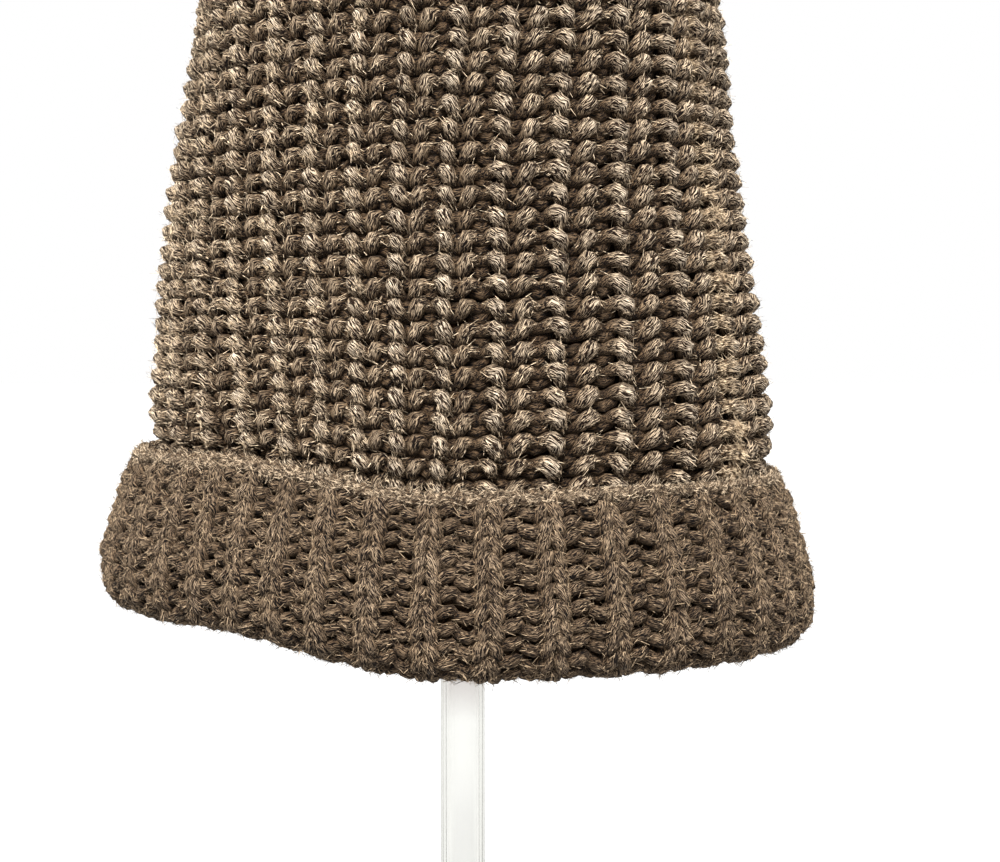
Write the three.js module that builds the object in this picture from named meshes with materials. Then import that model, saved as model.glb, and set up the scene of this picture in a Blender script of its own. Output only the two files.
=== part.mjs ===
// A chunky rib-knitted hat with a turned-up cuff, hanging on a plain clear stand.
// Millimetres, +Z up. The origin is the centre of the stand's foot, on the table, and the
// hat's front looks along -Y. The knitted wall waves out at each wale and in between wales.
import * as THREE from "three";

// Stand
const BASE_RADIUS = 75;
const BASE_THICKNESS = 8;
const BASE_EDGE = 1.5; // chamfer of the disc's rim
const TUBE_RADIUS = 6;
const TUBE_WALL = 1.9;
const PART_GAP = 0.3; // left between pieces that touch
const SOCKET_DEPTH = 5; // how far the tube goes into the base and into the dome's boss
const BOSS_RADIUS = 10;
const BOSS_LENGTH = 14;
const DOME_RADIUS = 44.5;
const DOME_RISE = 27;
const DOME_WALL = 3;

// Hat
const FOLD_HEIGHT = 106; // from the table to the foot of the cuff
const RIBS = 34; // wales round the hat
const STEPS_PER_RIB = 4;
const RIB_SWELL = 1.75; // how far the wall waves out and in
const HALF_WALL = 2.75; // half the thickness of the wall across the wave
const SEAT_CLEARANCE = 0.8; // between the crown and the dome that it hangs on
const CUFF_HEIGHT = 45.2;
const CUFF_SIDE = -0.7; // the cuff's centre lies a little to the hat's left
const CUFF_DEPTH = 0.92; // its depth over its width
const CUFF_LIFT = 9.7; // the cuff is pushed up this far on the left
const LIFT_STARTS = 4; // degrees from the front, round to the left
const LIFT_FULL = 46;
const LIFT_ENDS = 120;
const LIFT_GONE = 200;
const LIFT_FADES_FROM = 22; // height above the fold where the lift starts to fade
const LIFT_FADED_AT = 114; // height above the fold where the body is even again

// Middle of the body's wall: height above the fold, half its width, how far its centre lies
// to the side, its depth over its width, and the share of the rib's wave.
const WALL = [
  { height: 8.5, half: 79.4, side: -0.8, depth: 0.92, rib: 1 },
  { height: 39, half: 76.4, side: -0.6, depth: 0.92, rib: 1 },
  { height: 51, half: 79.2, side: -0.1, depth: 0.92, rib: 1 },
  { height: 74, half: 77.9, side: -0.4, depth: 0.93, rib: 1 },
  { height: 107, half: 74.1, side: -1.7, depth: 0.95, rib: 1 },
  { height: 134, half: 70.3, side: -1.7, depth: 0.97, rib: 1 },
  { height: 161, half: 66.5, side: -0.7, depth: 0.99, rib: 1 },
  { height: 180, half: 63.2, side: -1, depth: 1, rib: 1 },
  { height: 197, half: 56.5, side: -1, depth: 1, rib: 0.85 },
  { height: 211, half: 45, side: -0.6, depth: 1, rib: 0.6 },
  { height: 221, half: 28, side: -0.2, depth: 1, rib: 0.3 },
  { height: 225.3, half: 9, side: 0, depth: 1, rib: 0 },
  { height: 225.8, half: 0, side: 0, depth: 1, rib: 0 },
];

// Section of the cuff as a closed loop, starting at the stub that carries the body's wall:
// up between the two layers, over the free rim, down the outside and round the fold.
const CUFF = [
  { height: 8.2, half: 76.8, rib: 0 },
  { height: 8.2, half: 84.7, rib: 0 },
  { height: 40, half: 82.3, rib: 0 },
  { height: CUFF_HEIGHT, half: 84.4, rib: 0.3 },
  { height: 44, half: 86, rib: 0.8 },
  { height: 38, half: 87.5, rib: 1 },
  { height: 25, half: 91, rib: 1 },
  { height: 12, half: 93.2, rib: 1 },
  { height: 4.5, half: 93.6, rib: 1 },
  { height: 0.8, half: 90.4, rib: 0.7 },
  { height: 0, half: 85.5, rib: 0.4 },
  { height: 0.9, half: 80.5, rib: 0.3 },
  { height: 4, half: 77, rib: 0 },
];

// The wales aren't even round the hat: some are stretched apart and some drawn together. Each
// row is a wave round the hat, in radians, and its drift is what the wave gains over
// SPREAD_REACH of height. start is where the first wale lies, as a share of a rib.
const BODY_SPREAD = {
  start: 0.378,
  twist: -0.058,
  waves: [
    { sine: 0.062, cosine: 0.057, sineDrift: -0.046, cosineDrift: 0.089 },
    { sine: 0.038, cosine: 0.039, sineDrift: -0.047, cosineDrift: -0.031 },
    { sine: -0.014, cosine: 0.052, sineDrift: 0.015, cosineDrift: -0.021 },
  ],
};
const CUFF_SPREAD = {
  start: 0.436,
  twist: 0,
  waves: [
    { sine: 0.003, cosine: -0.204, sineDrift: 0, cosineDrift: 0 },
    { sine: 0.018, cosine: 0.022, sineDrift: 0, cosineDrift: 0 },
    { sine: -0.033, cosine: -0.027, sineDrift: 0, cosineDrift: 0 },
  ],
};
const SPREAD_CENTRE = 115; // height above the fold where the drift is nil
const SPREAD_REACH = 94.5; // height over which the drift is applied in full
const SPREAD_LIMIT = 0.7; // the drift grows no further past this share of it, up or down

const SIDES = RIBS * STEPS_PER_RIB;
const ROUND_SIDES = 28;
const ARC_STEPS = 6;
const WALL_TOP = WALL[WALL.length - 1].height;
const DOME_TOP = FOLD_HEIGHT + WALL_TOP - HALF_WALL - SEAT_CLEARANCE;
const BOSS_FOOT = DOME_TOP - DOME_WALL - BOSS_LENGTH;
const SOCKET_RADIUS = TUBE_RADIUS + PART_GAP;

function spreadAngle(share, spread, height) {
  const even = 2 * Math.PI * share;
  const reach = (height - SPREAD_CENTRE) / SPREAD_REACH;
  const rise = THREE.MathUtils.clamp(reach, -SPREAD_LIMIT, SPREAD_LIMIT);
  let angle = even + spread.twist * rise;
  spread.waves.forEach((wave, i) => {
    const turns = (i + 1) * even;
    angle += (wave.sine + wave.sineDrift * rise) * Math.sin(turns);
    angle += (wave.cosine + wave.cosineDrift * rise) * Math.cos(turns);
  });
  return angle;
}

// How much of the cuff's lift a place has: all of it on the left, fading up the body.
function liftAt(x, y, height) {
  const { smoothstep, radToDeg } = THREE.MathUtils;
  const fromFront = (radToDeg(Math.atan2(-x, -y)) + 360) % 360;
  const begun = smoothstep(fromFront, LIFT_STARTS, LIFT_FULL);
  const over = smoothstep(fromFront, LIFT_ENDS, LIFT_GONE);
  const faded = smoothstep(height, LIFT_FADES_FROM, LIFT_FADED_AT);
  return CUFF_LIFT * begun * (1 - over) * (1 - faded);
}

// One closed skin over stations that run along a profile. LatheGeometry gives the faces, and
// each vertex is then put on the hat's own section.
function knitSkin(stations, spread) {
  const profile = stations.map((station, i) => new THREE.Vector2(station.half ? 1 + i : 0, i));
  const skin = new THREE.LatheGeometry(profile, SIDES);
  const position = skin.getAttribute("position");
  for (let i = 0; i < position.count; i++) {
    const station = stations[i % stations.length];
    const step = Math.floor(i / stations.length) % SIDES;
    const angle = spreadAngle((step / STEPS_PER_RIB + spread.start) / RIBS, spread, station.height);
    const wave = RIB_SWELL * station.rib * Math.cos((2 * Math.PI * step) / STEPS_PER_RIB);
    const reach = station.half ? station.half + wave : 0;
    const x = reach * Math.cos(angle) + station.side;
    const y = reach * station.depth * Math.sin(angle);
    position.setXYZ(i, x, y, FOLD_HEIGHT + station.height + liftAt(x, y, station.height));
  }
  return skin;
}

// Body and crown in one: down the inside from the crown's centre, and back up the outside.
function bodyStations() {
  const face = (side) =>
    WALL.map((row, i) => {
      const below = WALL[Math.max(i - 1, 0)];
      const above = WALL[Math.min(i + 1, WALL.length - 1)];
      const outward = new THREE.Vector2(above.height - below.height, below.half - above.half);
      outward.setLength(side * HALF_WALL);
      const foot = i === 0;
      const centre = row.half === 0;
      return {
        ...row,
        half: centre ? 0 : row.half + outward.x,
        height: row.height + (foot ? 0 : outward.y),
      };
    });
  return [...face(-1).reverse(), ...face(1)];
}

function cuffStations() {
  const loop = CUFF.map((row) => ({ ...row, side: CUFF_SIDE, depth: CUFF_DEPTH }));
  return [...loop, loop[0]].reverse();
}

function lathe(points) {
  const profile = points.map(([radius, height]) => new THREE.Vector2(radius, height));
  return new THREE.LatheGeometry(profile, ROUND_SIDES).rotateX(Math.PI / 2);
}

function baseDisc() {
  const socketFloor = BASE_THICKNESS - SOCKET_DEPTH;
  return lathe([
    [0, 0],
    [BASE_RADIUS - BASE_EDGE, 0],
    [BASE_RADIUS, BASE_EDGE],
    [BASE_RADIUS, BASE_THICKNESS - BASE_EDGE],
    [BASE_RADIUS - BASE_EDGE, BASE_THICKNESS],
    [SOCKET_RADIUS, BASE_THICKNESS],
    [SOCKET_RADIUS, socketFloor],
    [0, socketFloor],
  ]);
}

function tube() {
  const foot = BASE_THICKNESS - SOCKET_DEPTH + PART_GAP;
  const head = BOSS_FOOT + SOCKET_DEPTH - PART_GAP;
  const bore = TUBE_RADIUS - TUBE_WALL;
  return lathe([
    [bore, foot],
    [TUBE_RADIUS, foot],
    [TUBE_RADIUS, head],
    [bore, head],
    [bore, foot],
  ]);
}

function dome() {
  const arc = (radius, rise, from, to) =>
    Array.from({ length: ARC_STEPS }, (_, i) => {
      const angle = THREE.MathUtils.lerp(from, to, i / (ARC_STEPS - 1));
      return [radius * Math.sin(angle), DOME_TOP - DOME_RISE + rise * Math.cos(angle)];
    });
  const hollow = DOME_RADIUS - DOME_WALL;
  const bossAngle = Math.asin(BOSS_RADIUS / hollow);
  return lathe([
    [0, BOSS_FOOT + SOCKET_DEPTH],
    [SOCKET_RADIUS, BOSS_FOOT + SOCKET_DEPTH],
    [SOCKET_RADIUS, BOSS_FOOT],
    [BOSS_RADIUS, BOSS_FOOT],
    ...arc(hollow, DOME_RISE - DOME_WALL, bossAngle, Math.PI / 2),
    ...arc(DOME_RADIUS, DOME_RISE, Math.PI / 2, 0),
  ]);
}

const wool = new THREE.MeshStandardMaterial({ color: 0x6a5a48, roughness: 0.95, metalness: 0 });
const cuffWool = new THREE.MeshStandardMaterial({ color: 0x65543f, roughness: 0.95, metalness: 0 });
const clear = new THREE.MeshStandardMaterial({
  color: 0xeef2f0,
  roughness: 0.08,
  metalness: 0,
  transparent: true,
  opacity: 0.35,
});

const part = new THREE.Group();
function add(name, geometry, material) {
  const mesh = new THREE.Mesh(geometry, material);
  mesh.name = name;
  part.add(mesh);
}

add("body_and_crown", knitSkin(bodyStations(), BODY_SPREAD), wool);
add("cuff", knitSkin(cuffStations(), CUFF_SPREAD), cuffWool);
add("stand_dome", dome(), clear.clone());
add("stand_tube", tube(), clear.clone());
add("stand_base", baseDisc(), clear.clone());

export default part;
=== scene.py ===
# %% [markdown]
# A chunky knitted hat with a turned-up cuff hangs on a clear rod stand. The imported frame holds
# the hat's solid form and the stand. This lesson knits the hat again in real yarn, row by row
# and stitch by stitch, over that form, and then finishes the yarn, its hairs and the acrylic.

# %% Load the fixed frame
import math

import bmesh
import bpy
import numpy as np
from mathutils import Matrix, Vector


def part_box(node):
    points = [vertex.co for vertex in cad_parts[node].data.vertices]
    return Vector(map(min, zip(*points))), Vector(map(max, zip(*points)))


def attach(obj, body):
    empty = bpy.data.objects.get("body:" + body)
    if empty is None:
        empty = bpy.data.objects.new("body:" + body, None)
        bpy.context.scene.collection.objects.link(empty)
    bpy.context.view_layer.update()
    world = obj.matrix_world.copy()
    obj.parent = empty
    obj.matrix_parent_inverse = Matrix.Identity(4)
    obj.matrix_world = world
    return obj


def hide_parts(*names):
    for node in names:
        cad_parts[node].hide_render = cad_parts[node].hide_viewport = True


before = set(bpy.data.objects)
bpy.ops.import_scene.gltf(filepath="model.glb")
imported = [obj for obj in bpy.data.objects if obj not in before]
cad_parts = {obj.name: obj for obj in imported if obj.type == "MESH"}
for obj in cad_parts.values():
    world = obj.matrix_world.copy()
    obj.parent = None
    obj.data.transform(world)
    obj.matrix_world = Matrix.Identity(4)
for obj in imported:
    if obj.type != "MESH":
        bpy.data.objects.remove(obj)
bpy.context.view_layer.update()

MM = 0.001
SEAM = 0.00001
print("nodes:", sorted(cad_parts))

# %% [markdown]
# The camera comes first, because every look is judged through it. The picture is 1000 by 862
# pixels, and a pixel is 0.27 mm at the rod. The lens follows from that and from how far the
# camera stands off. A camera that looks level puts the horizon in the middle of the picture,
# and here it is higher, so the camera is tipped down a little instead of shifting its lens.

# %% Camera
IMAGE_WIDTH = 1000
IMAGE_HEIGHT = 862
MM_PER_PIXEL = 0.27
CAMERA_DISTANCE = 600
EYE_HEIGHT = 191
ROD_COLUMN = 462.5
HORIZON_ROW = 320
SENSOR_WIDTH = 36


def add_camera():
    data = bpy.data.cameras.new("camera")
    data.sensor_width = SENSOR_WIDTH
    data.lens = CAMERA_DISTANCE / MM_PER_PIXEL * SENSOR_WIDTH / IMAGE_WIDTH
    camera = bpy.data.objects.new("camera", data)
    bpy.context.collection.objects.link(camera)
    beside = (IMAGE_WIDTH / 2 - ROD_COLUMN) * MM_PER_PIXEL
    camera.location = Vector((beside, -CAMERA_DISTANCE, EYE_HEIGHT)) * MM
    drop = (IMAGE_HEIGHT / 2 - HORIZON_ROW) * MM_PER_PIXEL
    camera.rotation_euler = (math.pi / 2 - math.atan2(drop, CAMERA_DISTANCE), 0, 0)
    bpy.context.scene.camera = camera
    print(f"lens {data.lens:.1f} mm, camera {beside:.1f} mm to the side")


add_camera()

# %% [markdown]
# The hat is shown on plain white, so the stage is a wide pale floor under a white sky. Thick
# knitting gets its depth from one strong soft light: a wide sun stands high in front of the hat,
# so each lump of yarn is light above and dark below. The floor glows as white as the sky, which
# hides its edge and the shadow on it. Its glow is kept off the yarn, because light from below
# would fill in the dark undersides.

# %% Stage and lights
WHITE = (1, 1, 1, 1)
SKY_STRENGTH = 1
FLOOR_SIZE = 12
FLOOR_LOOK = {
    "Base Color": (0.05, 0.05, 0.05, 1),
    "Roughness": 0.9,
    "Emission Color": WHITE,
    "Emission Strength": 1,
}
KEY_PLACE = (-0.1, -1.25, 1.55)
KEY_POWER = 10
KEY_WIDTH = 14


def new_finish(name, look):
    """A material whose main shader has the values of the look."""
    material = bpy.data.materials.new(name)
    material.use_nodes = True
    shader = material.node_tree.nodes["Principled BSDF"]
    for socket, value in look.items():
        shader.inputs[socket].default_value = value
    return material


def add_floor():
    bpy.ops.mesh.primitive_plane_add(size=FLOOR_SIZE)
    floor = bpy.context.object
    floor.name = "floor"
    floor.data.materials.append(new_finish("floor_paint", FLOOR_LOOK))
    floor.visible_diffuse = False


def add_key_sun():
    data = bpy.data.lights.new("key", "SUN")
    data.energy = KEY_POWER
    data.angle = math.radians(KEY_WIDTH)
    lamp = bpy.data.objects.new("key", data)
    bpy.context.collection.objects.link(lamp)
    lamp.location = KEY_PLACE
    lamp.rotation_euler = (-lamp.location).to_track_quat("-Z", "Y").to_euler()


def light_sky():
    world = bpy.data.worlds.new("sky")
    world.use_nodes = True
    sky = world.node_tree.nodes["Background"]
    sky.inputs["Color"].default_value = WHITE
    sky.inputs["Strength"].default_value = SKY_STRENGTH
    bpy.context.scene.world = world


add_floor()
add_key_sun()
light_sky()
bpy.context.scene.view_settings.view_transform = "Standard"
print(f"one sun of power {KEY_POWER}, {KEY_WIDTH} degrees wide, under a white sky")

# %% [markdown]
# The knitting is bent over the same form as the solid hat. That form is a short table: for some
# heights above the fold, half the width, how far the centre lies to the side, the depth over the
# width, and how deep the rib is there. A smooth curve is drawn through the rows, because a
# knitted tube has no corners. The cuff has such a table too, which runs from the inside of the
# fold, round it and up to the rim.

# %% Form of the hat
FORM_COLUMNS = ("height", "half", "side", "depth", "rib")
BODY_FORM = [
    (8.5, 79.4, -0.8, 0.92, 1),
    (39, 76.4, -0.6, 0.92, 1),
    (51, 79.2, -0.1, 0.92, 1),
    (74, 77.9, -0.4, 0.93, 1),
    (107, 74.1, -1.7, 0.95, 1),
    (134, 70.3, -1.7, 0.97, 1),
    (161, 66.5, -0.7, 0.99, 1),
    (180, 63.2, -1, 1, 1),
    (197, 56.5, -1, 1, 0.9),
    (211, 45, -0.6, 1, 0.8),
    (221, 28, -0.2, 1, 0.7),
    (225.3, 9, 0, 1, 0.7),
    (225.8, 0, 0, 1, 0.7),
]
CUFF_FORM = [
    (9.5, 79.4, -0.7, 0.92, 0.8),
    (5, 80.4, -0.7, 0.92, 0.6),
    (1.8, 85.5, -0.9, 0.92, 0.5),
    (4.4, 91.8, -1.2, 0.92, 0.8),
    (12, 92.8, -1.2, 0.92, 1),
    (25, 89.8, -0.9, 0.92, 1),
    (38, 85.5, -0.7, 0.92, 1),
    (43.4, 83.2, -0.7, 0.92, 0.8),
]
FORM_STEP = 0.5


def draw_form(rows):
    """A smooth curve through the rows, as arrays over the length along it."""
    table = np.array(rows, float)
    chords = np.hypot(np.diff(table[:, 0]), np.diff(table[:, 1]))
    knots = np.concatenate([[0], np.cumsum(chords)])
    slopes = np.gradient(table, knots, axis=0)
    along = np.arange(0, knots[-1], FORM_STEP)
    i = np.clip(np.searchsorted(knots, along, side="right") - 1, 0, len(chords) - 1)
    t = ((along - knots[i]) / chords[i])[:, None]
    gap = chords[i][:, None]
    curve = (
        (2 * t**3 - 3 * t**2 + 1) * table[i]
        + (t**3 - 2 * t**2 + t) * gap * slopes[i]
        + (3 * t**2 - 2 * t**3) * table[i + 1]
        + (t**3 - t**2) * gap * slopes[i + 1]
    )
    form = {name: curve[:, k] for k, name in enumerate(FORM_COLUMNS)}
    rise = np.gradient(form["height"])
    widen = np.gradient(form["half"])
    steps = np.hypot(rise, widen)
    form["along"] = np.cumsum(steps) - steps[0]
    form["normal_out"] = rise / steps
    form["normal_up"] = -widen / steps
    return form


BODY = draw_form(BODY_FORM)
CUFF = draw_form(CUFF_FORM)
print(f"body {BODY['along'][-1]:.0f} mm and cuff {CUFF['along'][-1]:.0f} mm along their sections")

# %% [markdown]
# A wale is a column of stitches. The wales of a worn, stretched hat aren't even: some are pulled
# apart and some are drawn together. A few waves round the hat say where each wale goes, and the
# waves drift a little with height. The cuff is also pushed up on the viewer's left.

# %% Where the wales go
RIBS = 34
BODY_SPREAD = {
    "start": 0.378,
    "twist": -0.058,
    "waves": [
        {"sine": 0.062, "cosine": 0.057, "sine_drift": -0.046, "cosine_drift": 0.089},
        {"sine": 0.038, "cosine": 0.039, "sine_drift": -0.047, "cosine_drift": -0.031},
        {"sine": -0.014, "cosine": 0.052, "sine_drift": 0.015, "cosine_drift": -0.021},
    ],
}
CUFF_SPREAD = {
    "start": 0.436,
    "twist": 0,
    "waves": [
        {"sine": 0.003, "cosine": -0.204, "sine_drift": 0, "cosine_drift": 0},
        {"sine": 0.018, "cosine": 0.022, "sine_drift": 0, "cosine_drift": 0},
        {"sine": -0.033, "cosine": -0.027, "sine_drift": 0, "cosine_drift": 0},
    ],
}
SPREAD_CENTRE = 115
SPREAD_REACH = 94.5
SPREAD_LIMIT = 0.7
CUFF_LIFT = 9.7
LIFT_STARTS = 0
LIFT_FULL = 45
LIFT_ENDS = 120
LIFT_GONE = 200
LIFT_FADES_FROM = 22
LIFT_FADED_AT = 114
FOLD_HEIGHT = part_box("cuff")[0][2] / MM


def smooth_step(value, start, end):
    share = np.clip((value - start) / (end - start), 0, 1)
    return share * share * (3 - 2 * share)


def spread_angle(share, spread, height):
    even = 2 * np.pi * share
    rise = np.clip((height - SPREAD_CENTRE) / SPREAD_REACH, -SPREAD_LIMIT, SPREAD_LIMIT)
    angle = even + spread["twist"] * rise
    for turns, wave in enumerate(spread["waves"], start=1):
        angle = angle + (wave["sine"] + wave["sine_drift"] * rise) * np.sin(turns * even)
        angle = angle + (wave["cosine"] + wave["cosine_drift"] * rise) * np.cos(turns * even)
    return angle


def lift_at(x, y, height):
    from_front = np.degrees(np.arctan2(-x, -y)) % 360
    begun = smooth_step(from_front, LIFT_STARTS, LIFT_FULL)
    over = smooth_step(from_front, LIFT_ENDS, LIFT_GONE)
    faded = smooth_step(height, LIFT_FADES_FROM, LIFT_FADED_AT)
    return CUFF_LIFT * begun * (1 - over) * (1 - faded)


def on_hat(form, spread, share, along, out):
    """Points on the hat: share of the way round, length along the section, and depth outwards."""
    row = {name: np.interp(along, form["along"], form[name]) for name in form}
    angle = spread_angle(share, spread, row["height"])
    out = out * row["rib"]
    reach = row["half"] + out * row["normal_out"]
    x = reach * np.cos(angle) + row["side"]
    y = reach * row["depth"] * np.sin(angle)
    z = FOLD_HEIGHT + row["height"] + out * row["normal_up"] + lift_at(x, y, row["height"])
    return np.stack([x, y, z], axis=-1)


print(f"{RIBS} wales, and the fold is {FOLD_HEIGHT:.1f} mm above the table")

# %% [markdown]
# One course is one row of knitting, all the way round. In a 1x1 rib a knit stitch and a purl
# stitch go by turns, and this pair repeats 34 times. From the front, the yarn of a course reads
# as a garland: down a leg to the point of a V, up the other leg, and over the purl stitch to the
# next V. The point of the V and the purl stitch sink into the fabric, so the two legs stand out
# as round lumps, side by side. Seen from inside the hat it is the same with the parts swapped. So
# each course is laid as two garlands, one for each face. The inner one keeps shallow, or else its
# loops would come out between the lumps in front.
#
# A path is given for half a pair, from the middle of the V to the middle of the purl stitch, and
# is mirrored for the other half. Across is a share of the pair's width, up a share of the row's
# height, out is in millimetres, and thick is the yarn's thickness there. Where the wales are drawn
# together or hang slack, the ribs stay deep. That is the narrow path, and each place gets its
# share of both. The twist of the yarn keeps the right leg lower, by the share called bias.

# %% Path of the yarn
BODY_PATH = [
    (0, -0.5, -1.8, 0.85),
    (0.09, -0.47, -1.5, 0.9),
    (0.15, -0.39, -0.3, 1.04),
    (0.187, -0.27, 1.2, 1.22),
    (0.218, -0.13, 2.2, 1.35),
    (0.252, 0, 2.65, 1.42),
    (0.29, 0.08, 2, 1.35),
    (0.335, 0.09, 0.8, 1.15),
    (0.41, 0.02, -0.5, 1),
    (0.5, -0.03, -0.9, 0.95),
]
NARROW_PATH = [
    (0, -0.5, -1.8, 0.85),
    (0.09, -0.47, -1.4, 0.88),
    (0.14, -0.39, -0.1, 0.98),
    (0.17, -0.27, 1.3, 1.12),
    (0.195, -0.13, 2.3, 1.2),
    (0.222, 0.01, 2.8, 1.22),
    (0.26, 0.11, 2, 1.12),
    (0.315, 0.12, 0.5, 1),
    (0.41, 0.03, -0.8, 0.95),
    (0.5, -0.01, -1.1, 0.95),
]
INSIDE_PATH = [
    (0, -0.5, 0.6, 0.75),
    (0.09, -0.45, 0.9, 0.8),
    (0.15, -0.33, 1.7, 0.9),
    (0.19, -0.17, 2.5, 0.98),
    (0.228, 0, 2.8, 1),
    (0.27, 0.12, 2.4, 0.98),
    (0.33, 0.14, 1.6, 0.92),
    (0.41, 0.04, 0.9, 0.88),
    (0.5, 0, 0.7, 0.85),
]
BODY_BIAS = 0.3
NARROW_BIAS = 0.65
NARROW = 0.85
WIDE = 1.1
SLACK_MIDDLE = -44
SLACK_REACH = 46
SLACK_CORE = 0.6 * SLACK_REACH
CURVE_STEPS = 10
FRONT_POINTS = 16
BACK_POINTS = 8


def whole_pair(half_path, bias=0):
    """The path of a pair from purl to purl, with its right leg lower by the bias."""
    right = np.array(half_path, float)
    left = right[::-1] * [-1, 1, 1, 1]
    right[:, 2] *= np.where(right[:, 2] > 0, 1 - bias, 1)
    return np.concatenate([left, right[1:]])


def stretch_at(spread, share, height):
    """How far apart the wales are pulled at a place, where 1 is the mean."""
    step = 0.5 / RIBS
    ahead = spread_angle(share + step, spread, height)
    behind = spread_angle(share - step, spread, height)
    return (ahead - behind) / (4 * np.pi * step)


def pulled_at(spread, share, height):
    """0 where the knitting hangs slack and its ribs stay deep, on the front's left, else 1."""
    from_front = np.degrees(spread_angle(share, spread, height)) + 90
    away = np.abs((from_front - SLACK_MIDDLE + 180) % 360 - 180)
    return smooth_step(away, SLACK_CORE, SLACK_REACH)


def resample(pair, width, row_height, count):
    """Even steps along a smooth curve through the pair's path; the next pair carries it on."""
    before = pair[-3:-1] - [1, 0, 0, 0]
    after = pair[1:3] + [1, 0, 0, 0]
    line = np.concatenate([before[1:], pair, after[:1]])
    t = np.linspace(0, 1, CURVE_STEPS, endpoint=False)[:, None]
    p0, p1, p2, p3 = line[:-3, None], line[1:-2, None], line[2:-1, None], line[3:, None]
    fine = 0.5 * (
        2 * p1
        + (p2 - p0) * t
        + (2 * p0 - 5 * p1 + 4 * p2 - p3) * t**2
        + (3 * p1 - p0 - 3 * p2 + p3) * t**3
    )
    fine = np.concatenate([fine.reshape(-1, 4), pair[-1:]])
    steps = np.diff(fine[:, :3] * [width, row_height, 1], axis=0)
    length = np.concatenate([[0], np.cumsum(np.linalg.norm(steps, axis=1))])
    at = np.linspace(0, length[-1], count, endpoint=False)
    return np.stack([np.interp(at, length, fine[:, k]) for k in range(4)], axis=-1)


# %% [markdown]
# Hand-made yarn never lies twice the same. Each course gets a little seeded unevenness: smooth
# waves of chance along the yarn move it across, up and out, and make it thicker and thinner. The
# rows also rise a little to one side, and they lie level again near the crown.

# %% Lay a course of yarn
ROW_TILT = 0.022
TILT_FULL = 300
TILT_GONE = 330
KNOTS_PER_PAIR = 3
ACROSS_CHANCE = 0.3
OUT_CHANCE = 0.25
THICK_CHANCE = 0.07


def chance_wave(rng, pairs, points, amount):
    """A smooth random wave along a closed course of yarn."""
    knots = rng.normal(0, amount, pairs * KNOTS_PER_PAIR)
    closed = np.concatenate([knots, knots[:1]])
    at = np.linspace(0, len(knots), pairs * points, endpoint=False)
    return np.interp(at, np.arange(len(closed)), closed).reshape(pairs, points)


def lay_course(rng, form, spread, along, knit, pairs=RIBS, shift=None):
    """One closed course as points, thickness and outward directions."""
    width = 2 * np.pi * np.interp(along, form["along"], form["half"]) / pairs
    count = knit["points"]
    shift = spread["start"] if shift is None else shift
    side = knit["side"]
    if side < 0:
        shift += 0.5
    height = np.interp(along, form["along"], form["height"])
    middles = (np.arange(pairs)[:, None] + shift) / pairs
    ease = smooth_step(stretch_at(spread, middles, height), NARROW, WIDE)
    ease = (ease * pulled_at(spread, middles, height))[..., None]
    wide_step = resample(knit["path"], width, knit["row"], count)
    narrow_step = resample(knit.get("narrow_path", knit["path"]), width, knit["row"], count)
    step = narrow_step + (wide_step - narrow_step) * ease
    across = step[..., 0] + chance_wave(rng, pairs, count, ACROSS_CHANCE) / width
    share = (np.arange(pairs)[:, None] + across + shift) / pairs
    up = step[..., 1] * knit["row"] + chance_wave(rng, pairs, count, ACROSS_CHANCE)
    out = side * step[..., 2] + knit["out"] + chance_wave(rng, pairs, count, OUT_CHANCE)
    thick = step[..., 3] * knit["radius"] * (1 + chance_wave(rng, pairs, count, THICK_CHANCE))
    level = on_hat(form, spread, share, np.full(share.shape, along), out * 0)
    up = up + ROW_TILT * level[..., 0] * smooth_step(level[..., 2], TILT_GONE, TILT_FULL)
    points = on_hat(form, spread, share, along + up, out)
    outward = on_hat(form, spread, share, along + up, out + 1) - points
    return {
        "points": points.reshape(-1, 3),
        "thick": thick.reshape(-1),
        "outward": outward.reshape(-1, 3),
        "depth": out.reshape(-1),
    }


# %% [markdown]
# The courses become round yarn with a curve bevel, which keeps the yarn round along any path. All
# courses of a piece are splines of one curve, and it is then made a mesh. Blender counts the
# U of the bevel by points, so U is set again to the true length along the yarn, in centimetres,
# and the twist follows that map. Each vertex also keeps how far it stands out of the fabric. A
# round bevel has four sides, and two more for each step of its resolution.

# %% Curve to yarn
MM_PER_CM = 10
FACE_CORNERS = 4


def unit(vectors):
    return vectors / np.linalg.norm(vectors, axis=-1, keepdims=True)


def closed_lengths(points):
    steps = np.linalg.norm(np.roll(points, -1, axis=0) - points, axis=1)
    return np.concatenate([[0], np.cumsum(steps)])


def declare_piece(name, mesh, material, node):
    mesh.name = name
    mesh.materials.clear()
    mesh.materials.append(material)
    piece = bpy.data.objects.new(name, mesh)
    bpy.context.collection.objects.link(piece)
    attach(piece, "root")
    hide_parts(node)
    return piece


def make_piece(name, curve, material, node):
    """A mesh piece from a curve, declared to the frame."""
    holder = bpy.data.objects.new(name + "_curve", curve)
    bpy.context.collection.objects.link(holder)
    graph = bpy.context.evaluated_depsgraph_get()
    mesh = bpy.data.meshes.new_from_object(holder.evaluated_get(graph))
    bpy.data.objects.remove(holder)
    return declare_piece(name, mesh, material, node)


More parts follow.
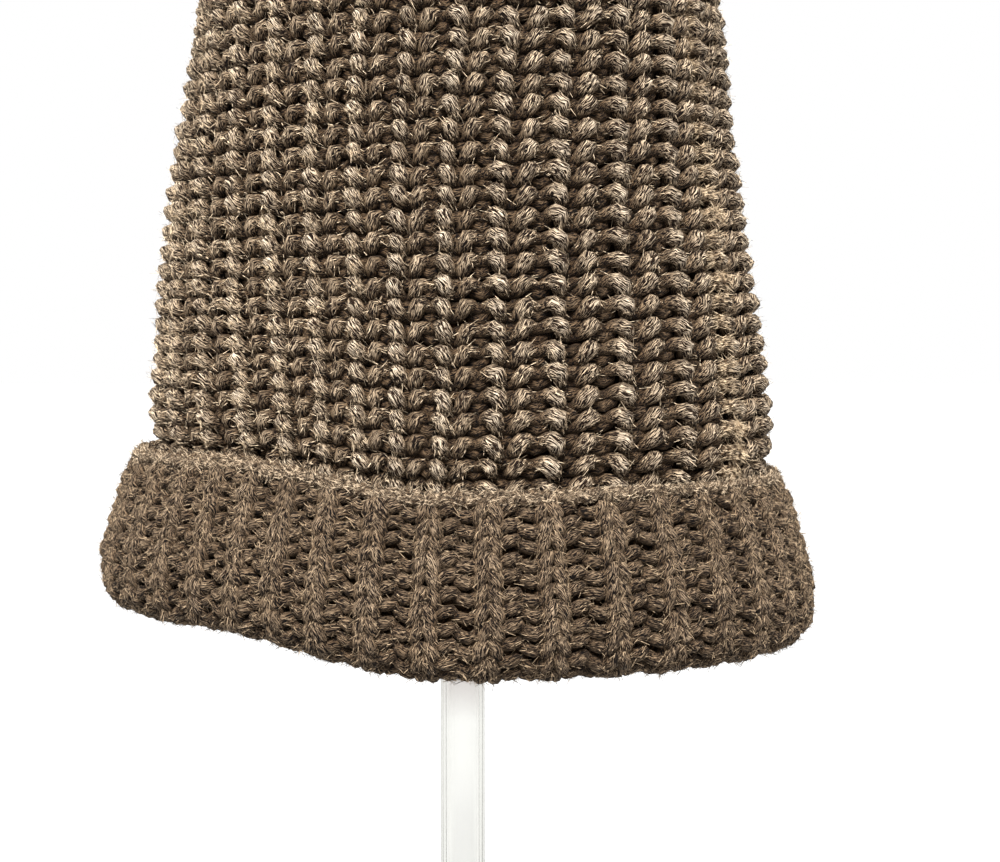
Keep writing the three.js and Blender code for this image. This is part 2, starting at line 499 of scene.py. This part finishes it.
def spin_yarn(name, courses, material, node, resolution=2):
    curve = bpy.data.curves.new(name, "CURVE")
    curve.dimensions = "3D"
    curve.bevel_depth = 1
    curve.bevel_resolution = resolution
    for course in courses:
        spline = curve.splines.new("POLY")
        spline.use_cyclic_u = True
        spline.points.add(len(course["points"]) - 1)
        four = np.ones((len(course["points"]), 4))
        four[:, :3] = course["points"] * MM
        spline.points.foreach_set("co", four.ravel())
        spline.points.foreach_set("radius", course["thick"] * MM)
    piece = make_piece(name, curve, material, node)
    sides = 4 + 2 * resolution
    set_lengths(piece.data, courses, sides)
    set_depths(piece.data, courses, sides)
    print(f"{name}: {len(courses)} courses, {2 * len(piece.data.polygons)} triangles")


def set_lengths(mesh, courses, sides):
    """The map's U along each course becomes its length in centimetres."""
    layer = mesh.uv_layers[0]
    uv = np.zeros(2 * len(mesh.loops), np.float32)
    layer.uv.foreach_get("vector", uv)
    uv = uv.reshape(-1, 2)
    first = 0
    begins = 0
    for course in courses:
        count = len(course["points"])
        last = first + FACE_CORNERS * count * sides
        lengths = closed_lengths(course["points"]) / MM_PER_CM
        uv[first:last, 0] = begins + np.interp(
            uv[first:last, 0] * count, np.arange(count + 1), lengths
        )
        begins += math.ceil(lengths[-1])
        first = last
    layer.uv.foreach_set("vector", uv.ravel())


# The yarn finish paints shade by this depth.
def set_depths(mesh, courses, sides):
    """How far each vertex stands out of the middle of the fabric, in millimetres."""
    places = np.zeros(3 * len(mesh.vertices), np.float32)
    mesh.vertices.foreach_get("co", places)
    rings = places.reshape(-1, sides, 3) / MM
    points = np.concatenate([course["points"] for course in courses])
    outward = unit(np.concatenate([course["outward"] for course in courses]))
    depth = np.concatenate([course["depth"] for course in courses])
    stands = ((rings - points[:, None]) * outward[:, None]).sum(axis=2) + depth[:, None]
    mesh.attributes.new("stands", "FLOAT", "POINT").data.foreach_set("value", stands.ravel())


# %% [markdown]
# The yarn is many fine brown and beige strands laid together with little twist. On the yarn, that
# is a noise drawn out along its length. The noise is wrapped round the yarn through the sine and
# cosine of the angle, so that no seam shows. Its light streaks stand up in the bump as well.
#
# Light that goes deep between hairy yarns comes back weaker and warmer. That shade is painted into
# the colour: it is scaled down by how deep the yarn lies, red least, blue most.

# %% Yarn finish
def add_node(tree, kind, inputs=None, **settings):
    node = tree.nodes.new(kind)
    for name, value in settings.items():
        setattr(node, name, value)
    for socket, value in (inputs or {}).items():
        if isinstance(value, bpy.types.NodeSocket):
            tree.links.new(value, node.inputs[socket])
        else:
            node.inputs[socket].default_value = value
    return node


def math_node(tree, operation, *values):
    node = add_node(tree, "ShaderNodeMath", dict(enumerate(values)), operation=operation)
    return node.outputs[0]


def noise_node(tree, place, scale, detail, roughness=0.5):
    inputs = {"Vector": place, "Scale": scale, "Detail": detail, "Roughness": roughness}
    return add_node(tree, "ShaderNodeTexNoise", inputs).outputs[0]


def ramp_node(tree, value, stops):
    node = add_node(tree, "ShaderNodeValToRGB", {"Fac": value})
    elements = node.color_ramp.elements
    while len(elements) < len(stops):
        elements.new(1)
    for element, (place, colour) in zip(elements, stops):
        element.position = place
        element.color = (*colour, 1)
    return node.outputs["Color"]


def link_shader(material, socket, output):
    tree = material.node_tree
    tree.links.new(output, tree.nodes["Principled BSDF"].inputs[socket])


def linear(red, green, blue):
    """A colour given in screen values from 0 to 255, as the shader wants it."""
    return tuple(
        c / 12.92 if c <= 0.04045 else ((c + 0.055) / 1.055) ** 2.4
        for c in (red / 255, green / 255, blue / 255)
    )


CM_PER_M = 100
TWIST_PER_CM = 0.25
STRANDS_ROUND = 11.5
STREAKS_PER_CM = 10
WANDER_PER_CM = 3
WANDER = 0.16
YARN_STOPS = (0.44, 0.525, 0.6)
# Painted shade: yarn that lies deeper gets a darker, warmer colour.
DEEP = -0.8
PROUD = 4.4
DEEP_SHADE = 0.15
SHADE_POWERS = {"X": 1.4, "Y": 1.65, "Z": 1.95}
BUMP = {"Strength": 0.8, "Distance": 0.0005}
YARN_LOOK = {
    "Roughness": 0.95,
    "Specular IOR Level": 0.15,
    "Sheen Weight": 0.15,
    "Sheen Roughness": 0.25,
    "Sheen Tint": (*linear(205, 170, 130), 1),
}


def strand_noise(tree, twist_per_cm):
    """Noise drawn out along the yarn and wrapped round it, as twisted strands are."""
    place = add_node(tree, "ShaderNodeTexCoord").outputs
    parts = add_node(tree, "ShaderNodeSeparateXYZ", {0: place["UV"]}).outputs
    wander = noise_node(tree, place["Object"], scale=WANDER_PER_CM * CM_PER_M, detail=1)
    drift = math_node(tree, "MULTIPLY_ADD", wander, WANDER, -WANDER / 2)
    twist = math_node(tree, "MULTIPLY_ADD", parts["X"], twist_per_cm, drift)
    turn = math_node(tree, "MULTIPLY", math_node(tree, "ADD", parts["Y"], twist), 2 * math.pi)
    wrapped = add_node(
        tree,
        "ShaderNodeCombineXYZ",
        {
            "X": math_node(tree, "MULTIPLY", math_node(tree, "COSINE", turn), STRANDS_ROUND),
            "Y": math_node(tree, "MULTIPLY", math_node(tree, "SINE", turn), STRANDS_ROUND),
            "Z": math_node(tree, "MULTIPLY", parts["X"], STREAKS_PER_CM),
        },
    ).outputs[0]
    return noise_node(tree, wrapped, scale=1, detail=1, roughness=0.6)


def painted_depth_shade(tree):
    """Painted shade: white where the yarn stands proud, and dark and warm where it lies deep."""
    stands = add_node(tree, "ShaderNodeAttribute", attribute_name="stands").outputs["Fac"]
    shade = add_node(
        tree,
        "ShaderNodeMapRange",
        {"Value": stands, "From Min": DEEP, "From Max": PROUD, "To Min": DEEP_SHADE, "To Max": 1},
    ).outputs[0]
    powers = {axis: math_node(tree, "POWER", shade, by) for axis, by in SHADE_POWERS.items()}
    return add_node(tree, "ShaderNodeCombineXYZ", powers).outputs[0]


def yarn_finish(name, dark, middle, light, twist_per_cm=TWIST_PER_CM):
    material = new_finish(name, YARN_LOOK)
    tree = material.node_tree
    strands = strand_noise(tree, twist_per_cm)
    marl = ramp_node(tree, strands, list(zip(YARN_STOPS, (dark, middle, light))))
    # The marled colour times the painted shade of deep yarn.
    colour = add_node(
        tree, "ShaderNodeVectorMath", {0: marl, 1: painted_depth_shade(tree)}, operation="MULTIPLY"
    ).outputs[0]
    bump = add_node(tree, "ShaderNodeBump", {"Height": strands, **BUMP}).outputs[0]
    link_shader(material, "Base Color", colour)
    link_shader(material, "Normal", bump)
    return material


yarn = yarn_finish("marled_yarn", linear(15, 6, 1), linear(50, 32, 17), linear(198, 181, 158))
cuff_yarn = yarn_finish("cuff_yarn", linear(13, 6, 2), linear(40, 26, 14), linear(156, 138, 117))

# %% [markdown]
# The body is knitted from the fold up. A row is 5.4 mm high. The outer face is split into pieces
# of some 16 courses, so that none holds too many faces. The inner face is only seen from below
# and gets by with fewer points.

# %% Knit the body
ROW_HEIGHT = 5.4
BODY_START = 4.5
COURSES_PER_PIECE = 16
CROWN_HALF = 46
OUTER_FACE = {
    "path": whole_pair(BODY_PATH, BODY_BIAS),
    "narrow_path": whole_pair(NARROW_PATH, NARROW_BIAS),
    "row": ROW_HEIGHT,
    "radius": 1.62,
    "points": FRONT_POINTS,
    "side": 1,
    "out": 0,
}
INNER_FACE = {
    "path": whole_pair(INSIDE_PATH),
    "row": ROW_HEIGHT,
    "radius": 1.9,
    "points": BACK_POINTS,
    "side": -1,
    "out": 0,
}


def body_courses(face, seed):
    """Courses from the fold up to where the crown begins, and the length reached there."""
    rng = np.random.default_rng(seed)
    courses = []
    along = BODY_START
    while np.interp(along, BODY["along"], BODY["half"]) > CROWN_HALF:
        courses.append(lay_course(rng, BODY, BODY_SPREAD, along, face))
        along += face["row"]
    return courses, along


body_front, crown_start = body_courses(OUTER_FACE, seed=11)
PIECE_NAMES = ("body_foot", "body_middle", "body_top")
for i, name in enumerate(PIECE_NAMES):
    some = body_front[i * COURSES_PER_PIECE : (i + 1) * COURSES_PER_PIECE]
    spin_yarn(name, some, yarn, "body_and_crown")
body_back, _ = body_courses(INNER_FACE, seed=13)
spin_yarn("body_inside", body_back, yarn, "body_and_crown", resolution=1)

# %% [markdown]
# Nobody sees through thick cashmere knitting, because loose fibres mat together between the two
# faces. A thin skin just inside the middle of the fabric stands for them and blocks the view:
# a grid whose rows run along the section of the hat, rolled round it and sewn up. Its dark colour
# is painted shade, the shade deep in the gaps between the stitches.

# %% Felt between the faces, dark with painted shade
FELT_COLUMNS = 2 * RIBS
FELT_ROW = 6
FELT_START = 2
FELT_OUT = -1.6
GRID_REACH = 0.5
# The dark mottled colours of this skin are painted shade.
SHADE_FELT_FINISH = {
    "look": {"Roughness": 1, "Specular IOR Level": 0},
    "noise": {"scale": 1400, "detail": 2},
    "stops": (0.4, 0.7),
}


def mottled_finish(name, dark, light, look, noise, stops):
    """A finish that goes from dark to light in small patches."""
    material = new_finish(name, look)
    tree = material.node_tree
    place = add_node(tree, "ShaderNodeTexCoord").outputs["Object"]
    patches = noise_node(tree, place, **noise)
    link_shader(material, "Base Color", ramp_node(tree, patches, list(zip(stops, (dark, light)))))
    return material


def roll_shade_felt(name, form, spread, end, material, node):
    rows = int((end - FELT_START) / FELT_ROW)
    bm = bmesh.new()
    bmesh.ops.create_grid(bm, x_segments=FELT_COLUMNS, y_segments=rows, size=GRID_REACH)
    at = np.array([v.co for v in bm.verts]) + GRID_REACH
    along = FELT_START + at[:, 1] * (end - FELT_START)
    spots = on_hat(form, spread, at[:, 0], along, np.full(len(at), FELT_OUT)) * MM
    for vertex, spot in zip(bm.verts, spots):
        vertex.co = spot
    bmesh.ops.remove_doubles(bm, verts=bm.verts, dist=SEAM)
    bmesh.ops.recalc_face_normals(bm, faces=bm.faces)
    mesh = bpy.data.meshes.new(name)
    bm.to_mesh(mesh)
    bm.free()
    mesh.shade_smooth()
    declare_piece(name, mesh, material, node)
    print(f"{name}: {len(mesh.polygons)} faces")


# Painted shade: the skin in the body is nearly black, as the gaps between the stitches are.
painted_shade_felt = mottled_finish("painted_shade_felt", linear(12, 6, 2), linear(36, 23, 13), **SHADE_FELT_FINISH)
crown_centre = BODY["along"][-1]
roll_shade_felt("body_shade_felt", BODY, BODY_SPREAD, crown_centre, painted_shade_felt, "body_and_crown")

# %% [markdown]
# Towards the centre of the crown there is less and less room, so stitches are knitted together:
# every two wales become one, and so again nearer the centre. The last stitches are drawn
# together by the tail of the yarn, which leaves a small knot. Each step says down to which half
# width it goes, how many pairs it has, and where its first pair lies.

# %% Knit the crown
CROWN_STEPS = (
    {"half": 23, "pairs": 17, "shift": (BODY_SPREAD["start"] + 0.5) / 2},
    {"half": 9, "pairs": 9, "shift": 0.2},
    {"half": 3, "pairs": 5, "shift": 0.1},
)
CROWN_ROW = 5
CROWN_OUT = 0.8
KNOT_SIZE = 1.4
KNOT_LIFT = 1.6
KNOT_POINTS = 48
KNOT_THICKNESS = 0.8


def crown_courses(face, along, seed):
    rng = np.random.default_rng(seed)
    knit = {**face, "row": CROWN_ROW, "out": CROWN_OUT}
    courses = []
    for step in CROWN_STEPS:
        pairs, shift = step["pairs"], step["shift"]
        while np.interp(along, BODY["along"], BODY["half"]) > step["half"]:
            courses.append(lay_course(rng, BODY, BODY_SPREAD, along, knit, pairs, shift))
            along += CROWN_ROW
    return courses


def crown_knot():
    """The tail of the yarn, tied in a trefoil over the middle of the crown."""
    t = np.linspace(0, 2 * np.pi, KNOT_POINTS, endpoint=False)
    reach = KNOT_SIZE * (2 + np.cos(3 * t))
    top = FOLD_HEIGHT + BODY["height"][-1] + KNOT_LIFT
    points = np.stack([reach * np.cos(2 * t), reach * np.sin(2 * t), top + np.sin(3 * t)], axis=-1)
    return {
        "points": points,
        "thick": np.full(KNOT_POINTS, OUTER_FACE["radius"] * KNOT_THICKNESS),
        "outward": np.tile([0.0, 0, 1], (KNOT_POINTS, 1)),
        "depth": points[:, 2] - top + KNOT_LIFT,
    }


crown = [*crown_courses(OUTER_FACE, crown_start, seed=17), crown_knot()]
spin_yarn("crown", crown, yarn, "body_and_crown")
crown_back = crown_courses(INNER_FACE, crown_start, seed=19)
spin_yarn("crown_inside", crown_back, yarn, "body_and_crown", resolution=1)

# %% [markdown]
# The cuff is the same knitting turned inside out and upside down. Its V stitches stand on their
# heads as narrow ridges, and between them lie wide hollows, where the heads and the feet of the
# purl stitches show as two rows of short bars. So its path isn't the same on both sides.

# %% Knit the cuff
CUFF_PATH = [
    (-0.5, 0.1, -0.9, 0.9),
    (-0.43, -0.1, 0.4, 1.02),
    (-0.35, -0.22, 1, 1.08),
    (-0.27, -0.3, 0.5, 1),
    (-0.18, 0.1, -0.7, 0.92),
    (-0.09, 0.5, -0.1, 0.9),
    (-0.035, 0.42, 0.8, 0.96),
    (-0.08, 0.1, 1.5, 1.06),
    (-0.13, -0.25, 1.3, 1.04),
    (-0.15, -0.65, -0.2, 0.9),
    (0, -0.95, -1.4, 0.82),
    (0.15, -0.65, -0.2, 0.9),
    (0.13, -0.25, 1.3, 1.04),
    (0.08, 0.1, 1.5, 1.06),
    (0.035, 0.42, 0.8, 0.96),
    (0.09, 0.5, -0.1, 0.9),
    (0.18, 0.1, -0.7, 0.92),
    (0.27, 0.12, 0.5, 1),
    (0.35, 0.24, 1, 1.08),
    (0.43, 0.34, 0.4, 1.02),
    (0.5, 0.1, -0.9, 0.9),
]
CUFF_START = 2
CUFF_RIM = CUFF["along"][-1]
CUFF_END = CUFF_RIM - 2
CUFF_SEED = 23
CUFF_FACE = {
    "path": np.array(CUFF_PATH, float),
    "row": 4,
    "radius": 1.65,
    "points": 20,
    "side": 1,
    "out": 0,
}


def cuff_courses():
    rng = np.random.default_rng(CUFF_SEED)
    return [
        lay_course(rng, CUFF, CUFF_SPREAD, along, CUFF_FACE)
        for along in np.arange(CUFF_START, CUFF_END, CUFF_FACE["row"])
    ]


cuff = cuff_courses()
spin_yarn("cuff_knit", cuff, cuff_yarn, "cuff")
# Painted shade for the skin in the cuff, a little lighter than in the body.
cuff_shade_felt = mottled_finish("cuff_shade_felt", linear(16, 10, 6), linear(66, 50, 36), **SHADE_FELT_FINISH)
roll_shade_felt("cuff_shade_felt", CUFF, CUFF_SPREAD, CUFF_END, cuff_shade_felt, "cuff")

# %% [markdown]
# The last row of the cuff is bound off. It makes a soft edge of finer, paler looking yarn that
# rolls over a little. Two thin courses that weave up and down make this lip.

# %% Bind off the rim
LIP_PATH = [
    (0, 0.2, 0.9, 1),
    (0.12, -0.15, 0.4, 0.9),
    (0.25, 0.2, 0.9, 1),
    (0.38, -0.15, 0.4, 0.9),
    (0.5, 0.2, 0.9, 1),
]
LIP_FACE = {"path": whole_pair(LIP_PATH), "row": 3, "radius": 1.5, "points": 10, "side": 1}
LIP_COURSES = ((0.6, 0), (2, 0.9))
LIP_TWIST = 1
LIP_SEED = 31


def lip_courses():
    rng = np.random.default_rng(LIP_SEED)
    return [
        lay_course(rng, CUFF, CUFF_SPREAD, CUFF_RIM - below, {**LIP_FACE, "out": out})
        for below, out in LIP_COURSES
    ]


pale_yarn = yarn_finish(
    "pale_yarn", linear(24, 15, 8), linear(76, 58, 43), linear(168, 151, 129), LIP_TWIST
)
lip = lip_courses()
spin_yarn("cuff_lip", lip, pale_yarn, "cuff")

# %% [markdown]
# Cashmere is hairy. Fine short hairs stand out of the yarn all over and catch the light. There are
# very many, so each is only a flat ribbon: a spline of two points that leaves the yarn at a slant
# and tapers to its tip, with a line of two points as its bevel, turned by chance. Hairs grow only
# on yarn that stands proud, or else they would light up the dark gaps. On a strip of the body on
# each side more hairs stand, and they are paler: a painted highlight for the light that hairs
# catch along the edges of the wales.

# %% Hairs
HAIR_SINK = 0.94
HAIR_LEAN = 0.8
HAIR_LIFT = (0.05, 0.5)
HAIR_STRAY = 0.3
HAIR_TIP = 0.35
HAIR_FINISH = {
    "look": {"Roughness": 0.8, "Specular IOR Level": 0.2},
    "noise": {"scale": 900, "detail": 1},
    "stops": (0.4, 0.56),
}


def hair_section():
    curve = bpy.data.curves.new("hair_section", "CURVE")
    spline = curve.splines.new("POLY")
    spline.points.add(1)
    for point, across in zip(spline.points, (-1, 1)):
        point.co = (across, 0, 0, 1)
    section = bpy.data.objects.new("hair_section", curve)
    bpy.context.collection.objects.link(section)
    return section


def hair_lines(rng, courses, count, lengths, least_depth, middle=0, reach=180):
    """Roots and tips of hairs, on yarn that stands proud within some degrees of a direction."""
    points = np.concatenate([c["points"] for c in courses])
    ahead = np.concatenate([np.roll(c["points"], -1, axis=0) for c in courses])
    outward = unit(np.concatenate([c["outward"] for c in courses]))
    thick = np.concatenate([c["thick"] for c in courses])
    depth = np.concatenate([c["depth"] for c in courses])
    from_front = np.degrees(np.arctan2(points[:, 0], -points[:, 1]))
    rooted = (np.abs(from_front - middle) < reach) & (depth > least_depth)
    chosen = rng.choice(np.flatnonzero(rooted), count)
    between = rng.uniform(0, 1, (count, 1))
    at = points[chosen] + (ahead[chosen] - points[chosen]) * between
    tangent = unit(ahead[chosen] - points[chosen])
    side = unit(np.cross(tangent, outward[chosen]))
    lean = rng.normal(0, HAIR_LEAN, (count, 1))
    away = np.cos(lean) * unit(np.cross(side, tangent)) + np.sin(lean) * side
    way = rng.choice([-1, 1], (count, 1))
    length = rng.uniform(*lengths, (count, 1))
    root = at + away * thick[chosen, None] * HAIR_SINK
    lift = away * rng.uniform(*HAIR_LIFT, (count, 1))
    stray = rng.normal(0, HAIR_STRAY, (count, 3))
    tip = root + length * unit(way * tangent + lift + stray)
    return np.stack([root, tip], axis=1)


def grow_hairs(name, courses, material, slot, node, seed, radius, **growth):
    rng = np.random.default_rng(seed)
    lines = hair_lines(rng, courses, **growth)
    count = len(lines)
    strands = np.ones((count, 2, 4))
    strands[..., :3] = lines * MM
    curve = bpy.data.curves.new(name, "CURVE")
    curve.dimensions = "3D"
    curve.bevel_mode = "OBJECT"
    section = hair_section()
    curve.bevel_object = section
    turns = rng.uniform(0, math.pi, count)
    for strand, turn in zip(strands, turns):
        spline = curve.splines.new("POLY")
        spline.points.add(1)
        spline.points.foreach_set("co", strand.ravel())
        spline.points.foreach_set("tilt", (turn, turn))
        spline.points[0].radius = radius * MM
        spline.points[1].radius = radius * HAIR_TIP * MM
    piece = make_piece(name, curve, material, node)
    bpy.data.objects.remove(section)
    print(f"{name}: {count} hairs, {2 * len(piece.data.polygons)} triangles")


hair = mottled_finish("hair", linear(24, 15, 7), linear(214, 191, 160), **HAIR_FINISH)
# Painted highlight: hairs on the side strips are paler than the rest.
highlit_hair = mottled_finish(
    "highlit_hair", linear(80, 62, 44), linear(200, 178, 147), **HAIR_FINISH
)
cuff_hair = mottled_finish("cuff_hair", linear(22, 13, 6), linear(158, 136, 109), **HAIR_FINISH)
lip_hair = mottled_finish("lip_hair", linear(22, 13, 6), linear(186, 165, 138), **HAIR_FINISH)
grow_hairs(
    "body_hairs", body_front + crown, hair, "knit_body", "body_and_crown",
    seed=41, radius=0.07, count=66000, lengths=(1.2, 2.8), least_depth=0.6,
)
# Side strips of paler hair, a painted highlight along the edges of the wales.
grow_hairs(
    "wale_hairs_right", body_front, highlit_hair, "knit_body", "body_and_crown",
    seed=53, radius=0.08, count=9000, lengths=(1.5, 3.5), least_depth=0, middle=57.5, reach=2.6,
)
grow_hairs(
    "wale_hairs_left", body_front, highlit_hair, "knit_body", "body_and_crown",
    seed=59, radius=0.07, count=5000, lengths=(1.2, 2.4), least_depth=2.5, middle=-42, reach=30,
)
grow_hairs(
    "cuff_hairs", cuff, cuff_hair, "knit_cuff", "cuff",
    seed=43, radius=0.075, count=48000, lengths=(1.2, 3), least_depth=-0.2,
)
grow_hairs(
    "lip_hairs", lip, lip_hair, "knit_cuff", "cuff",
    seed=47, radius=0.08, count=10000, lengths=(1.2, 2.6), least_depth=-0.2,
)

# %% [markdown]
# The stand is clear acrylic. Its shape is right in the frame, so only its finish is made here.
# Clear plastic shows by its darker edges and by what it bends, not by a colour of its own. The
# edges are darker because one looks through more of it there, so it swallows a little light.
# Just under the hat the rod is greyer, because the dark knitting shows in it. That grey is a
# painted reflection in the rod's colour.

# %% Clear stand
ACRYLIC_DENSITY = 200
ACRYLIC_TINT = (*linear(216, 216, 208), 1)
ACRYLIC_LOOK = {"IOR": 1.49, "Transmission Weight": 1}
POLISH = [(0.4, (0.03, 0.03, 0.03)), (0.7, (0.07, 0.07, 0.07))]
# Painted reflection of the hat: the heights in metres over which it comes in, and its greys.
GREY_FROM = 0.082
GREY_FULL = 0.101
REFLECTED_GREY = [(0, (1, 1, 1)), (1, (0.7, 0.66, 0.66))]


def acrylic_finish():
    material = new_finish("clear_acrylic", ACRYLIC_LOOK)
    tree = material.node_tree
    place = add_node(tree, "ShaderNodeTexCoord").outputs["Object"]
    wear = noise_node(tree, place, scale=60, detail=4)
    link_shader(material, "Roughness", ramp_node(tree, wear, POLISH))
    # Painted reflection: the rod's colour turns grey towards the hat above it.
    height = add_node(tree, "ShaderNodeSeparateXYZ", {0: place}).outputs["Z"]
    painted_reflection = add_node(
        tree,
        "ShaderNodeMapRange",
        {"Value": height, "From Min": GREY_FROM, "From Max": GREY_FULL},
    ).outputs[0]
    link_shader(material, "Base Color", ramp_node(tree, painted_reflection, REFLECTED_GREY))
    tint = add_node(
        tree,
        "ShaderNodeVolumeAbsorption",
        {"Color": ACRYLIC_TINT, "Density": ACRYLIC_DENSITY},
    ).outputs[0]
    tree.links.new(tint, tree.nodes["Material Output"].inputs["Volume"])
    return material


acrylic = acrylic_finish()
for name in ("stand_dome", "stand_tube", "stand_base"):
    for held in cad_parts[name].material_slots:
        held.material = acrylic
    print(f"{name}: clear acrylic")
